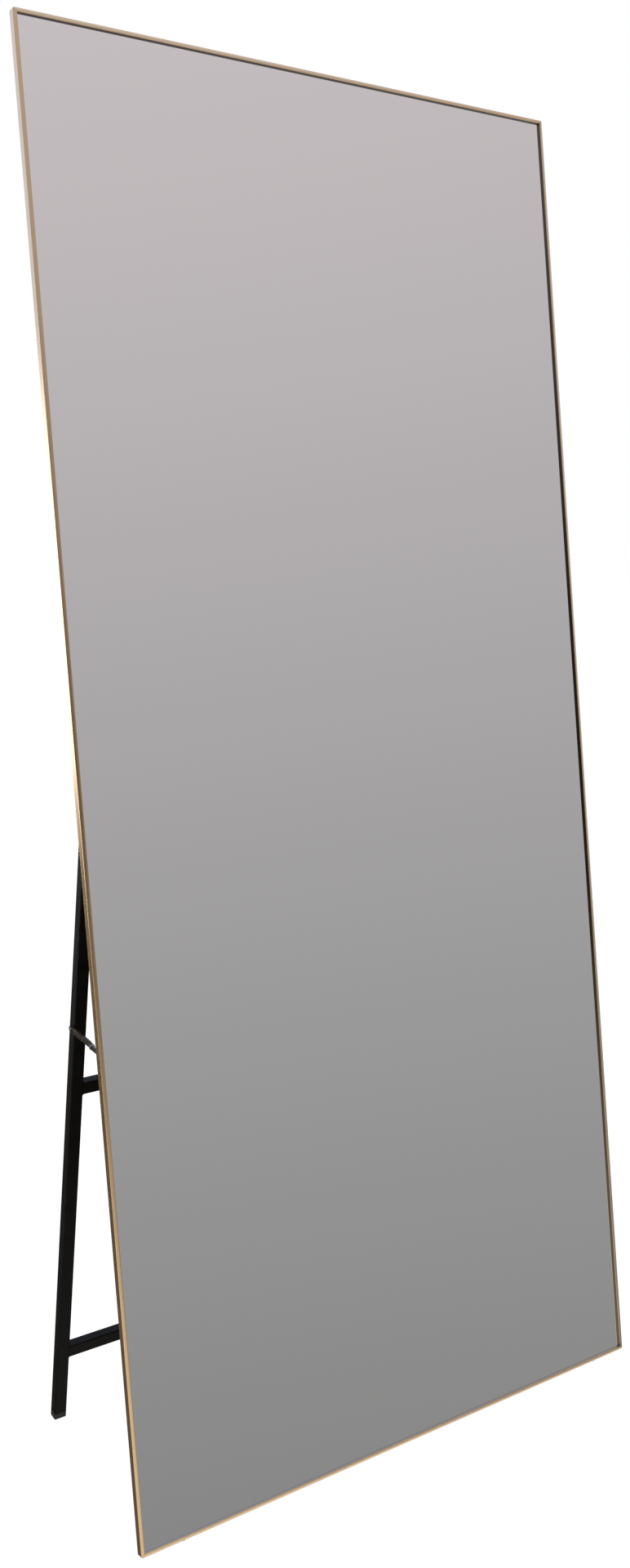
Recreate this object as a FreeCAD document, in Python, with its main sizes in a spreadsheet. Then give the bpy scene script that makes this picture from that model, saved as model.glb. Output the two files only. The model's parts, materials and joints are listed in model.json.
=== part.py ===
import FreeCAD, Part
import math
import os
import re
import Sketcher

# Leaning floor mirror: a mitred aluminium frame with a recessed glass, on a folding easel stand.
# Row frame: X to the viewer's right, Y to the back, Z up. The floor is Z = 0, and the origin is the
# middle of the footprint. Lengths are millimetres and angles are degrees.

# ---------------------------------------------------------------- driving sizes
sizes = [
    # the mirror panel
    ("mirrorWide", 813.0),       # outside of the frame, across
    ("mirrorHigh", 1803.0),      # outside of the frame, along the panel
    ("leanAngle", 7.5),          # panel from the upright
    # the frame's extruded section
    ("lipWide", 5.0),            # front face that shows round the glass
    ("lipReturn", 1.2),          # thickness of the leg that presses on the glass
    ("faceThick", 1.2),          # thickness of the front face
    ("wallThick", 1.4),          # thickness of the outer wall
    ("glassSetBack", 3.2),       # glass behind the front face
    ("flangeWide", 14.0),        # rear flange, from the outside
    ("flangeThick", 1.2),
    ("cornerRound", 3.0),        # outer corners of the finished frame
    ("edgeRound", 1.5),          # outer long edge of the front face
    ("lipRound", 0.4),           # its inner long edge
    ("backRound", 0.8),          # outer long edge of the rear flange
    # what the frame holds
    ("glassThick", 3.0),
    ("glassGap", 0.5),           # glass edge to the outer wall
    ("tapeThick", 0.6),
    ("tapeWide", 20.0),
    ("tapeInset", 60.0),         # middle of the outer strips from the frame's side
    ("tapeShort", 45.0),         # strips stop this far from the frame's ends
    ("boardThick", 2.0),
    ("boardGap", 0.8),           # board edge to the outer wall
    # corner braces
    ("braceLong", 36.0),
    ("braceWide", 12.0),
    ("braceInset", 1.0),
    ("braceThick", 1.2),
    ("braceRound", 2.0),
    ("braceNear", 20.0),         # screws from the frame's corner
    ("braceFar", 31.0),
    # small screws in the rear flange
    ("screwDia", 2.9),
    ("screwHeadDia", 5.6),
    ("screwHeadHigh", 1.6),
    ("screwSlack", 0.1),         # hole diameter over the screw's
    ("screwShort", 0.1),         # screw ends this far from the board
    # bottom bumpers
    ("bumperDia", 6.0),
    ("bumperInset", 60.0),       # from the frame's ends
    ("bumperBack", 3.5),         # middle of a bumper from the frame's back
    ("bumperLeast", 1.2),        # rubber under the frame's back edge
    # rails across the back
    ("backRailDeep", 8.0),
    ("backRailHigh", 30.0),
    ("backRailThick", 1.2),
    ("backRailInset", 5.0),      # rail ends from the frame's sides
    ("backRailScrewIn", 9.5),    # end screws from the frame's sides
    ("backRailScrewGap", 14.0),  # between the two screws of an end
    # hinges of the stand
    ("hingeUp", 1041.6),         # pin above the panel's bottom edge
    ("hingeInset", 176.0),       # middle of a hinge from the frame's side
    ("leafWide", 50.0),
    ("leafHigh", 20.0),
    ("leafThick", 1.5),
    ("leafRound", 2.5),
    ("hingeRise", 3.0),          # pin's axis off the face that a leaf is screwed to
    ("knuckleDia", 5.9),
    ("knuckleGap", 0.3),
    ("pinDia", 3.0),
    ("pinSlack", 0.1),           # knuckle bore over the pin, in diameter
    ("pinHeadDia", 4.6),
    ("pinHeadHigh", 0.8),
    ("leafScrewApart", 30.0),
    ("leafScrewUp", 12.5),       # screws from the pin's axis
    ("leafScrewDia", 3.5),
    ("leafScrewHeadDia", 6.4),
    ("leafScrewHeadHigh", 1.0),
    ("leafScrewLong", 9.0),
    # the stand
    ("standAngle", 16.66),       # stand to panel when open
    ("foldGap", 0.5),            # stand's hinge leaf to the back rail when folded
    ("legInset", 39.3),          # outer face of a leg from the frame's side
    ("legWide", 17.0),
    ("legDeep", 14.5),
    ("tubeWall", 1.2),
    ("tubeRound", 1.5),
    ("topDrop", 4.0),            # top of the tubes below the pin's axis
    ("midBarUp", 497.0),         # underside of the middle bar from the leg's end
    ("lowBarUp", 96.0),          # underside of the lower bar from the leg's end
    ("capHigh", 8.0),            # foot cap below the tube
    ("capSink", 0.4),            # rubber flattened by the floor
    ("capRound", 1.0),
    ("plugHigh", 1.5),           # top plug above the tube
    ("plugLong", 14.0),          # cap and plug inside the tube
    ("plugGap", 0.15),
    # folding stays, stacked outwards from the leg's outer face
    ("stayUp", 592.0),           # leg pivot from the leg's end
    ("stayAcross", 5.0),         # leg pivot behind the hinge pin's axis
    ("stayAngle", 13.3),         # straight stay to the panel's normal
    ("linkGap", 0.4),            # washer between leg and channel link
    ("channelHigh", 8.0),
    ("channelDeep", 2.6),
    ("channelThick", 1.5),
    ("channelLip", 1.2),         # thickness of the channel's two edges
    ("channelShort", 7.5),       # channel edges stop this far from the knuckle
    ("linkRunGap", 0.3),         # between pieces that swing past each other
    ("flatHigh", 6.0),
    ("flatThick", 1.8),
    ("rivetDia", 3.0),
    ("rivetSlack", 0.1),         # pivot hole over the rivet, in diameter
    ("rivetHeadDia", 5.6),
    ("rivetHeadHigh", 0.9),
    ("bracketThick", 1.6),
    ("bracketFoot", 20.0),       # foot of the stay bracket along the rail
    ("bracketHigh", 14.0),
    ("bracketEye", 4.2),         # round end about the pivot, radius
    # wall hangers
    ("hangerUp", 1500.0),        # ring axis above the panel's bottom edge
    ("hangerInset", 9.5),        # middle of a hanger from the frame's side
    ("strapWide", 9.0),
    ("strapLong", 34.0),
    ("strapSheet", 0.8),         # folded double round the ring
    ("strapScrewNear", 18.5),
    ("strapScrewFar", 29.0),
    ("strapEyeWide", 5.4),
    ("ringWire", 2.2),
    ("ringSlack", 0.2),          # eye bore over the wire, in diameter
    ("ringWide", 12.4),          # between wire centres
    ("ringDrop", 14.0),          # from the ring's axis to the bottom of its bow
    ("ringCorner", 1.7),
]

# ---------------------------------------------------------------- sizes worked out from them
derived = {
    # panel frame: Y back from the front face, Z up from the bottom edge
    "frameDeep": "glassSetBack + glassThick + tapeThick + boardThick + flangeThick",
    "panelLift": "bumperLeast + frameDeep * sin(leanAngle)",
    "panelFront": "-footReach / 2",
    "flangeFace": "frameDeep - flangeThick",
    "screwHeadSeat": "frameDeep + braceThick",
    "railFace": "frameDeep + backRailDeep",
    "axisDeep": "railFace + hingeRise",
    "upperRailLow": "hingeUp - 3",
    "lowerRailLow": "bracketPivotUp - backRailHigh / 2",
    "flangeMid": "braceInset + braceWide / 2",
    # stand frame: origin on the hinge pin, Z up along the legs
    "openAngle": "standAngle - leanAngle",
    "legFront": "leafThick + foldGap - hingeRise",
    "legMid": "legFront + legDeep / 2",
    "hingeHeight": "panelLift + hingeUp * cos(leanAngle) - axisDeep * sin(leanAngle)",
    "legLong": "(hingeHeight + legFront * sin(openAngle)) / cos(openAngle)",
    "footReach": "(axisDeep * cos(leanAngle) + hingeUp * sin(leanAngle)"
                 " + (legFront + legDeep) * cos(openAngle) + (legLong + capSink) * sin(openAngle))",
    "legFaceX": "mirrorWide / 2 - legInset",
    "legMidX": "legFaceX - legWide / 2",
    "hingeX": "mirrorWide / 2 - hingeInset",
    # stay: leg pivot A, bracket pivot B and knuckle, in the panel frame
    "stayArm": "legLong - stayUp",
    "pivotOpenY": "axisDeep + stayAcross * cos(standAngle) + stayArm * sin(standAngle)",
    "pivotOpenZ": "hingeUp + stayAcross * sin(standAngle) - stayArm * cos(standAngle)",
    "pivotFoldZ": "hingeUp - stayArm",
    "bracketPivotY": "axisDeep + stayAcross",
    "bracketPivotUp": "pivotOpenZ - (pivotOpenY - bracketPivotY) * tan(stayAngle)",
    "stayLong": "(pivotOpenY - bracketPivotY) / cos(stayAngle)",
    "foldOffset": "pivotFoldZ - bracketPivotUp",
    "channelLink": "(stayLong - foldOffset) / 2",
    "flatLink": "(stayLong + foldOffset) / 2",
    # the stay's layers, from the leg's outer face
    "webOut": "linkGap + channelThick",
    "channelOut": "linkGap + channelDeep",
    "flatIn": "channelOut + linkRunGap",
    "flatOut": "flatIn + flatThick",
    "bracketIn": "flatOut + linkRunGap",
    "bracketOut": "bracketIn + bracketThick",
    # wall hangers, in the panel frame
    "strapThick": "2 * strapSheet",
    "eyeRadius": "(ringWire + ringSlack) / 2 + strapSheet",
    "ringAxisY": "frameDeep + eyeRadius",
    "hangerX": "mirrorWide / 2 - hangerInset",
}

names = {name for name, value in sizes}


def onSheet(text):
    """Writes a size or a formula of sizes as an expression on the sheet's cells."""
    def swap(match):
        word = match.group(0)
        if word in derived:
            return "(" + onSheet(derived[word]) + ")"
        return "Sizes." + word if word in names else word
    return re.sub(r"[A-Za-z]\w*", swap, str(text))


doc = FreeCAD.newDocument("LeaningFloorMirror")
sheet = doc.addObject("Spreadsheet::Sheet", "Sizes")
for row, (name, value) in enumerate(sizes, 1):
    sheet.set(f"A{row}", name)
    sheet.set(f"B{row}", str(value))
    sheet.setAlias(f"B{row}", name)
doc.recompute()

parts = []   # the document's objects that become nodes


# ---------------------------------------------------------------- places
def shift(x=0, y=0, z=0, turnAxis=None, turn=0):
    """One step of a place: a move, then a turn about a row axis, in the frame reached so far."""
    spin = f"rotation(vector({turnAxis or '1; 0; 0'}); {onSheet(turn)})"
    return f"placement(vector({onSheet(x)}; {onSheet(y)}; {onSheet(z)}); {spin})"


onPanel = shift(0, "panelFront", "panelLift", "1; 0; 0", "-leanAngle")
onStand = onPanel + " * " + shift(0, "axisDeep", "hingeUp", "1; 0; 0", "standAngle")
onChannel = onStand + " * " + shift(0, "stayAcross", "-stayArm", "1; 0; 0", "180 + stayAngle - standAngle")
onFlat = onPanel + " * " + shift(0, "bracketPivotY", "bracketPivotUp", "1; 0; 0", "stayAngle")


# ---------------------------------------------------------------- sketches and features
planeOf = {"X": "YZ_Plane", "Y": "XZ_Plane", "Z": "XY_Plane"}


def newBody(label, place, keep=True):
    body = doc.addObject("PartDesign::Body", label)
    body.Label = label
    body.setExpression("Placement", place)
    if keep:
        parts.append(body)
    return body


def originPlane(body, across):
    role = planeOf[across]
    return [item for item in body.Origin.OriginFeatures if item.Role == role][0]


def fix(sketch, kind, item, point, size, start=1.0):
    """Holds a point at a signed distance from the sketch's origin along X or Y."""
    index = sketch.addConstraint(Sketcher.Constraint(kind, -1, 1, item, point, start))
    sketch.setExpression(f"Constraints[{index}]", onSheet(size))


def outline(body, across, low, loops=(), circles=()):
    """A sketch square to an axis, at low along it: closed loops of points, and circles."""
    sketch = body.newObject("Sketcher::SketchObject", "outline")
    sketch.AttachmentSupport = [(originPlane(body, across), "")]
    sketch.MapMode = "FlatFace"
    sign = "-" if across == "Y" else ""
    sketch.setExpression("AttachmentOffset.Base.z", f"{sign}({onSheet(low)})")
    for loop in loops:
        count = len(loop)
        # a rough ring of the right order, which the constraints then pull to size
        start = sketch.GeometryCount
        ring = [FreeCAD.Vector(100.0 * i, 100.0 * i * i, 0) for i in range(count)]
        sketch.addGeometry([Part.LineSegment(ring[i], ring[(i + 1) % count]) for i in range(count)])
        sketch.addConstraint([Sketcher.Constraint("Coincident", start + i, 2, start + (i + 1) % count, 1)
                              for i in range(count)])
        for i, (x, y) in enumerate(loop):
            fix(sketch, "DistanceX", start + i, 1, x)
            fix(sketch, "DistanceY", start + i, 1, y)
    for x, y, size in circles:
        item = sketch.addGeometry(Part.Circle(FreeCAD.Vector(1, 1, 0), FreeCAD.Vector(0, 0, 1), 1.0))
        fix(sketch, "DistanceX", item, 3, x)
        fix(sketch, "DistanceY", item, 3, y)
        index = sketch.addConstraint(Sketcher.Constraint("Diameter", item, 2.0))
        sketch.setExpression(f"Constraints[{index}]", onSheet(size))
    return sketch


def extrude(body, kind, across, low, high, loops=(), circles=()):
    feature = body.newObject(kind, "feature")
    feature.Profile = outline(body, across, low, loops, circles)
    feature.setExpression("Length", f"({onSheet(high)}) - ({onSheet(low)})")
    # a pad runs along its plane's normal and a pocket against it; the XZ plane faces -Y
    feature.Reversed = (across == "Y") == (kind == "PartDesign::Pad")
    return feature


def pad(body, across, low, high, loops=(), circles=()):
    return extrude(body, "PartDesign::Pad", across, low, high, loops, circles)


def pocket(body, across, low, high, loops=(), circles=()):
    return extrude(body, "PartDesign::Pocket", across, low, high, loops, circles)


def box(x0, x1, y0, y1):
    return [(x0, y0), (x1, y0), (x1, y1), (x0, y1)]


def roundEdges(body, size, chosen, kind="PartDesign::Fillet"):
    """Rounds the edges of the body's last feature for which chosen(start, end) is true."""
    doc.recompute()
    base = body.Tip
    picked = []
    for number, edge in enumerate(base.Shape.Edges, 1):
        ends = [vertex.Point for vertex in edge.Vertexes]
        if len(ends) == 2 and chosen(*ends):
            picked.append(f"Edge{number}")
    feature = body.newObject(kind, "round")
    feature.Base = (base, picked)
    feature.setExpression("Radius", onSheet(size))
    return feature


def alongAxis(axis):
    """True for a straight edge that runs along one axis."""
    def chosen(start, end):
        step = end - start
        lengths = {"X": abs(step.x), "Y": abs(step.y), "Z": abs(step.z)}
        return lengths[axis] > 0.5 * step.Length and lengths[axis] > step.Length - 1e-6
    return chosen


def outwards(side, near, far):
    """The X range of a layer of a stay, given outwards from the leg's outer face."""
    if side < 0:
        return f"-(legFaceX + {far})", f"-(legFaceX + {near})"
    return f"legFaceX + {near}", f"legFaceX + {far}"


sides = (("left", -1), ("right", 1))


# ---------------------------------------------------------------- frame
def frameRail(name, long, place, extraHoles):
    """One mitred length of the frame. X runs along it, Y to the back and Z inwards."""
    rail = newBody(name, onPanel + " * " + place)
    section = [(0, 0), (0, "lipWide"), ("glassSetBack", "lipWide"), ("glassSetBack", "lipWide - lipReturn"),
               ("faceThick", "lipWide - lipReturn"), ("faceThick", "wallThick"), ("flangeFace", "wallThick"),
               ("flangeFace", "flangeWide"), ("frameDeep", "flangeWide"), ("frameDeep", 0)]
    pad(rail, "X", f"-{long} / 2", f"{long} / 2", [section])
    doc.recompute()

    # a mitre cut, a rounded tip and the screw holes at one end, then the same at the other
    spare = 1
    reach = f"flangeWide + {spare}"
    mitre = pocket(rail, "Y", -spare, f"frameDeep + {spare}",
                   [[(f"{long} / 2 + {spare}", -spare), (f"{long} / 2 - ({reach})", reach),
                     (f"{long} / 2 + {spare}", reach)]])
    braceHoles = [(f"{long} / 2 - braceNear", "flangeMid", "screwDia + screwSlack"),
                  (f"{long} / 2 - braceFar", "flangeMid", "screwDia + screwSlack")]
    holes = pocket(rail, "Y", f"flangeFace - {spare}", f"frameDeep + {spare}", circles=braceHoles)
    tip = pocket(rail, "Y", -spare, f"frameDeep + {spare}")
    cornerTip(tip.Profile[0], f"{long} / 2")
    other = rail.newObject("PartDesign::Mirrored", "otherEnd")
    other.Originals = [mitre, holes, tip]
    other.MirrorPlane = (originPlane(rail, "X"), [""])
    rail.Tip = other

    # the outer long edges are rounded on round the corner's tips, and the lip's inner edge is broken
    middle = dict(sizes)["lipWide"] / 2

    def outerFront(start, end):
        return max(start.y, end.y) < 1e-6 and max(start.z, end.z) < middle

    def outerBack(start, end):
        return min(start.y, end.y) > middle and max(start.z, end.z) < middle

    def innerFront(start, end):
        return max(start.y, end.y) < 1e-6 and min(start.z, end.z) > middle
    for size, chosen in (("edgeRound", outerFront), ("backRound", outerBack), ("lipRound", innerFront)):
        roundEdges(rail, size, chosen)
    if extraHoles:
        pocket(rail, "Y", f"flangeFace - {spare}", f"frameDeep + {spare}", circles=extraHoles)
    return rail


def cornerTip(sketch, corner):
    """What a rounded corner takes off: the corner's square less a quarter circle."""
    sketch.setExpression("AttachmentOffset.Base.x", onSheet(corner))
    size = dict(sizes)["cornerRound"]
    at = FreeCAD.Vector
    bend = Part.Circle(at(-size, size, 0), at(0, 0, 1), size)
    sketch.addGeometry([Part.LineSegment(at(-size, 0, 0), at(0, 0, 0)),
                        Part.LineSegment(at(0, 0, 0), at(0, size, 0)),
                        Part.ArcOfCircle(bend, -math.pi / 2, 0)])
    sketch.addConstraint([Sketcher.Constraint("Coincident", 0, 2, 1, 1),
                          Sketcher.Constraint("Coincident", 0, 2, -1, 1),
                          Sketcher.Constraint("Horizontal", 0), Sketcher.Constraint("Vertical", 1),
                          Sketcher.Constraint("Tangent", 0, 1, 2, 1),
                          Sketcher.Constraint("Tangent", 1, 2, 2, 2)])
    index = sketch.addConstraint(Sketcher.Constraint("Radius", 2, size))
    sketch.setExpression(f"Constraints[{index}]", onSheet("cornerRound"))


def railScrews(low):
    """Heights of the two screws that hold one end of a back rail."""
    middle = f"{low} + backRailHigh / 2"
    return [f"{middle} - backRailScrewGap / 2", f"{middle} + backRailScrewGap / 2"]


backRailScrewUps = railScrews("upperRailLow") + railScrews("lowerRailLow")
hangerScrewUps = ["hangerUp - strapScrewNear", "hangerUp - strapScrewFar"]

frameRail("frame_rail_bottom", "mirrorWide", shift(), [])
frameRail("frame_rail_top", "mirrorWide", shift(0, 0, "mirrorHigh", "0; 1; 0", 180), [])
for side, sign in sides:
    # along the side rails X runs down on the left and up on the right
    def sideHole(up, inwards):
        along = f"mirrorHigh / 2 - ({up})" if sign < 0 else f"{up} - mirrorHigh / 2"
        return (along, inwards, "screwDia + screwSlack")
    holes = [sideHole(up, "backRailScrewIn") for up in backRailScrewUps]
    holes += [sideHole(up, "hangerInset") for up in hangerScrewUps]
    frameRail(f"frame_rail_{side}", "mirrorHigh",
              shift(f"{sign} * mirrorWide / 2", 0, "mirrorHigh / 2", "0; 1; 0", -90 * sign), holes)

# ---------------------------------------------------------------- glass, tape and board
glass = newBody("mirror_glass", onPanel)
edge = "(wallThick + glassGap)"
pad(glass, "Y", "glassSetBack", "glassSetBack + glassThick",
    [box(f"{edge} - mirrorWide / 2", f"mirrorWide / 2 - {edge}", edge, f"mirrorHigh - {edge}")])

tape = newBody("mounting_tape", onPanel)
stripCount = 5
strips = []
for i in range(stripCount):
    middle = f"(mirrorWide / 2 - tapeInset) * {2 * i / (stripCount - 1) - 1}"
    strips.append(box(f"{middle} - tapeWide / 2", f"{middle} + tapeWide / 2",
                      "tapeShort", "mirrorHigh - tapeShort"))
pad(tape, "Y", "glassSetBack + glassThick", "glassSetBack + glassThick + tapeThick", strips)

board = newBody("backing_board", onPanel)
edge = "(wallThick + boardGap)"
pad(board, "Y", "flangeFace - boardThick", "flangeFace",
    [box(f"{edge} - mirrorWide / 2", f"mirrorWide / 2 - {edge}", edge, f"mirrorHigh - {edge}")])

# ---------------------------------------------------------------- corner braces and their screws
braceScrews = []
for level, up in (("bottom", 1), ("top", -1)):
    for side, sign in sides:
        def corner(inwards, upwards):
            x = f"{sign} * (mirrorWide / 2 - ({inwards}))"
            z = f"{upwards}" if up > 0 else f"mirrorHigh - ({upwards})"
            return x, z
        brace = newBody(f"corner_brace_{level}_{side}", onPanel)
        far = "braceInset + braceLong"
        near = "braceInset"
        wide = "braceInset + braceWide"
        places = [("braceNear", "flangeMid"), ("braceFar", "flangeMid"),
                  ("flangeMid", "braceNear"), ("flangeMid", "braceFar")]
        pad(brace, "Y", "frameDeep", "screwHeadSeat",
            [[corner(near, near), corner(far, near), corner(far, wide), corner(wide, wide),
              corner(wide, far), corner(near, far)]])
        roundEdges(brace, "braceRound", alongAxis("Y"))
        pocket(brace, "Y", "frameDeep - 1", "screwHeadSeat + 1",
               circles=[(*corner(*spot), "screwDia + screwSlack") for spot in places])
        braceScrews += [corner(*spot) for spot in places]


def screws(name, place, across, spots, seat, tip, dia, headDia, headHigh, outward=1):
    """Pan-head screws as separate solids: shanks from tip to seat, heads beyond the seat."""
    group = newBody(name, place)
    low, high = (tip, seat) if outward > 0 else (seat, tip)
    pad(group, across, low, high, circles=[(*spot, dia) for spot in spots])
    low, high = (seat, f"{seat} + {headHigh}") if outward > 0 else (f"{seat} - {headHigh}", seat)
    pad(group, across, low, high, circles=[(*spot, headDia) for spot in spots])
    return group


screws("corner_brace_screws", onPanel, "Y", braceScrews, "screwHeadSeat", "flangeFace + screwShort",
       "screwDia", "screwHeadDia", "screwHeadHigh")

# ---------------------------------------------------------------- rails across the back
hingeSpots = [f"{sign} * hingeX + {half} * leafScrewApart / 2" for side, sign in sides for half in (-1, 1)]
bracketSpots = [f"{sign} * (legFaceX + bracketIn + bracketFoot * {share})" for side, sign in sides
                for share in (0.4, 0.8)]
for level, low, taps in (("upper", "upperRailLow", [(x, "hingeUp + leafScrewUp") for x in hingeSpots]),
                         ("lower", "lowerRailLow", [(x, "bracketPivotUp") for x in bracketSpots])):
    rail = newBody(f"back_rail_{level}", onPanel)
    # a channel, open towards the board
    high = f"{low} + backRailHigh"
    end = "mirrorWide / 2 - backRailInset"
    pad(rail, "Y", "frameDeep", "railFace", [box(f"-({end})", end, low, high)])
    pocket(rail, "Y", "frameDeep - 1", "railFace - backRailThick",
           [box(f"-({end}) - 1", f"{end} + 1", f"{low} + backRailThick", f"{high} - backRailThick")])
    ends = [(f"{sign} * (mirrorWide / 2 - backRailScrewIn)", up, "screwDia + screwSlack")
            for side, sign in sides for up in railScrews(low)]
    pocket(rail, "Y", "railFace - backRailThick - 1", "railFace + 1",
           circles=ends + [(x, z, "leafScrewDia + screwSlack") for x, z in taps])

screws("back_rail_screws", onPanel, "Y",
       [(f"{sign} * (mirrorWide / 2 - backRailScrewIn)", up)
        for side, sign in sides for up in backRailScrewUps],
       "railFace", "flangeFace + screwShort", "screwDia", "screwHeadDia", "screwHeadHigh")


# ---------------------------------------------------------------- hinges
def hingeLeaf(name, place, middle, up, face, ownKnuckles, otherKnuckles):
    """A rolled leaf. face is its outer plane, from the pin's axis; up is the way it points."""
    leaf = newBody(name, place)
    clear = "knuckleDia / 2 + knuckleGap"
    low, high = face, f"{face} + leafThick"

    def z(value):
        return value if up > 0 else f"-({value})"

    def span(share, trim):
        # a share of the leaf's width, stopped short by trim except at the leaf's own ends
        start, end = share
        left = f"{middle} + leafWide * {start}" + ("" if start == -0.5 else f" + {trim}")
        right = f"{middle} + leafWide * {end}" + ("" if end == 0.5 else f" - {trim}")
        return left, right

    plate = [(f"{middle} - leafWide / 2", z("leafHigh")), (f"{middle} + leafWide / 2", z("leafHigh"))]
    # the root of the plate steps back beside the other leaf's knuckles
    for share in sorted(ownKnuckles + otherKnuckles, reverse=True):
        own = share in ownKnuckles
        left, right = span(share, "knuckleGap / 2" if own else "-knuckleGap / 2")
        root = z(0 if own else clear)
        plate += [(right, root), (left, root)]
    pad(leaf, "Y", low, high, [plate])
    freeEdge = dict(sizes)["leafHigh"] / 2
    roundEdges(leaf, "leafRound", lambda start, end: min(abs(start.z), abs(end.z)) > freeEdge
               and alongAxis("Y")(start, end))
    for share in ownKnuckles:
        pad(leaf, "X", *span(share, "knuckleGap / 2"), circles=[(0, 0, "knuckleDia")])
    pocket(leaf, "X", f"{middle} - leafWide / 2 - 1", f"{middle} + leafWide / 2 + 1",
           circles=[(0, 0, "pinDia + pinSlack")])
    spots = [(f"{middle} + {half} * leafScrewApart / 2", z("leafScrewUp")) for half in (-1, 1)]
    pocket(leaf, "Y", f"{low} - 1", f"{high} + 1",
           circles=[(*spot, "leafScrewDia + screwSlack") for spot in spots])
    # screw heads sink into the side away from what the leaf is screwed to
    if up > 0:
        sink = (f"{high} - leafScrewHeadHigh", f"{high} + 1")
    else:
        sink = (f"{low} - 1", f"{low} + leafScrewHeadHigh")
    pocket(leaf, "Y", *sink, circles=[(*spot, "leafScrewHeadDia + screwSlack") for spot in spots])
    return leaf


onPin = onPanel + " * " + shift(0, "axisDeep", "hingeUp")
thirds = [(-0.5, -0.1667), (-0.1667, 0.1667), (0.1667, 0.5)]
for side, sign in sides:
    middle = f"{sign} * hingeX"
    hingeLeaf(f"hinge_leaf_mirror_{side}", onPin, middle, 1, "-hingeRise",
              [thirds[0], thirds[2]], [thirds[1]])
    hingeLeaf(f"hinge_leaf_stand_{side}", onStand, middle, -1, "legFront - leafThick",
              [thirds[1]], [thirds[0], thirds[2]])
    pin = newBody(f"hinge_pin_{side}", onPin)
    pad(pin, "X", f"{middle} - leafWide / 2", f"{middle} + leafWide / 2", circles=[(0, 0, "pinDia")])
    for half in (-1, 1):
        end = f"{middle} + {half} * leafWide / 2"
        ends = (end, f"{end} + pinHeadHigh") if half > 0 else (f"{end} - pinHeadHigh", end)
        pad(pin, "X", *ends, circles=[(0, 0, "pinHeadDia")])

leafSpots = [(x, "leafScrewUp") for x in hingeSpots]
screws("hinge_screws_mirror", onPin, "Y", leafSpots,
       "leafThick - leafScrewHeadHigh - hingeRise", "leafThick - leafScrewLong - hingeRise",
       "leafScrewDia", "leafScrewHeadDia", "leafScrewHeadHigh")
screws("hinge_screws_stand", onStand, "Y", [(x, "-leafScrewUp") for x in hingeSpots],
       "legFront - leafThick + leafScrewHeadHigh", "legFront - leafThick + leafScrewLong",
       "leafScrewDia", "leafScrewHeadDia", "leafScrewHeadHigh", outward=-1)


# ---------------------------------------------------------------- stand
def tube(name, across, low, high, section):
    """Rectangular steel tube: section gives the ranges of its other two axes."""
    bar = newBody(name, onStand)
    (a0, a1), (b0, b1) = section
    pad(bar, across, low, high, [box(a0, a1, b0, b1)])
    roundEdges(bar, "tubeRound", alongAxis(across))
    wall = "tubeWall"
    pocket(bar, across, f"{low} - 1", f"{high} + 1",
           [box(f"{a0} + {wall}", f"{a1} - {wall}", f"{b0} + {wall}", f"{b1} - {wall}")])
    return bar


legBack = "legFront + legDeep"
for side, sign in sides:
    inner, outer = "legFaceX - legWide", "legFaceX"
    across = (inner, outer) if sign > 0 else ("-legFaceX", "legWide - legFaceX")
    leg = tube(f"stand_leg_{side}", "Z", "capHigh - legLong", "-topDrop", (across, ("legFront", legBack)))
    # hole for the stay's rivet, in the outer wall
    wall = outwards(sign, "-tubeWall - 1", "1")
    pocket(leg, "X", *wall, circles=[("stayAcross", "-stayArm", "rivetDia")])
    # end cap: a block under the tube and a plug inside it, flattened where it stands on the floor
    inside = tuple(f"{edge} {way} (tubeWall + plugGap)" for edge, way in zip(across, "+-"))
    insideY = ("legFront + tubeWall + plugGap", f"{legBack} - tubeWall - plugGap")
    cap = newBody(f"foot_cap_{side}_blank", onStand, keep=False)
    pad(cap, "Z", "-legLong - capSink", "capHigh - legLong", [box(*across, "legFront", legBack)])
    roundEdges(cap, "tubeRound", alongAxis("Z"))
    pad(cap, "Z", "capHigh - legLong", "capHigh - legLong + plugLong", [box(*inside, *insideY)])
    plug = newBody(f"leg_top_plug_{side}", onStand)
    pad(plug, "Z", "-topDrop", "plugHigh - topDrop", [box(*across, "legFront", legBack)])
    roundEdges(plug, "tubeRound", alongAxis("Z"))
    pad(plug, "Z", "-topDrop - plugLong", "-topDrop", [box(*inside, *insideY)])

innerFace = "legFaceX - legWide"
bars = (("top", "-topDrop - legWide", "-topDrop"),
        ("middle", "midBarUp - legLong", "midBarUp + legWide - legLong"),
        ("lower", "lowBarUp - legLong", "lowBarUp + legWide - legLong"))
for level, low, high in bars:
    bar = tube(f"stand_bar_{level}", "X", f"-({innerFace})", innerFace, (("legFront", legBack), (low, high)))
    if level == "top":
        pocket(bar, "Y", "legFront - 1", "legFront + tubeWall + 1",
               circles=[(x, "-leafScrewUp", "leafScrewDia + screwSlack") for x in hingeSpots])

# the floor, which flattens the rubber of the caps and bumpers
floor = doc.addObject("Part::Box", "floor")
floor.Length, floor.Width, floor.Height = 2000, 2000, 50
floor.Placement.Base = FreeCAD.Vector(-1000, -1000, -50)


def flattened(name, blank):
    cut = doc.addObject("Part::Cut", name)
    cut.Label = name
    cut.Base, cut.Tool = blank, floor
    parts.append(cut)


for side, sign in sides:
    flattened(f"foot_cap_{side}", doc.getObjectsByLabel(f"foot_cap_{side}_blank")[0])
    bumper = newBody(f"bottom_bumper_{side}_blank", onPanel, keep=False)
    pad(bumper, "Z", "-bumperDia", 0,
        circles=[(f"{sign} * (mirrorWide / 2 - bumperInset)", "frameDeep - bumperBack", "bumperDia")])
    flattened(f"bottom_bumper_{side}", bumper)


# ---------------------------------------------------------------- folding stays
def rivet(name, place, side, layers):
    """Coaxial discs, each (inner layer, outer layer, diameter), outwards from the leg."""
    piece = newBody(name, place)
    for near, far, size in layers:
        pad(piece, "X", *outwards(side, near, far), circles=[(0, 0, size)])
    return piece


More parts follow.
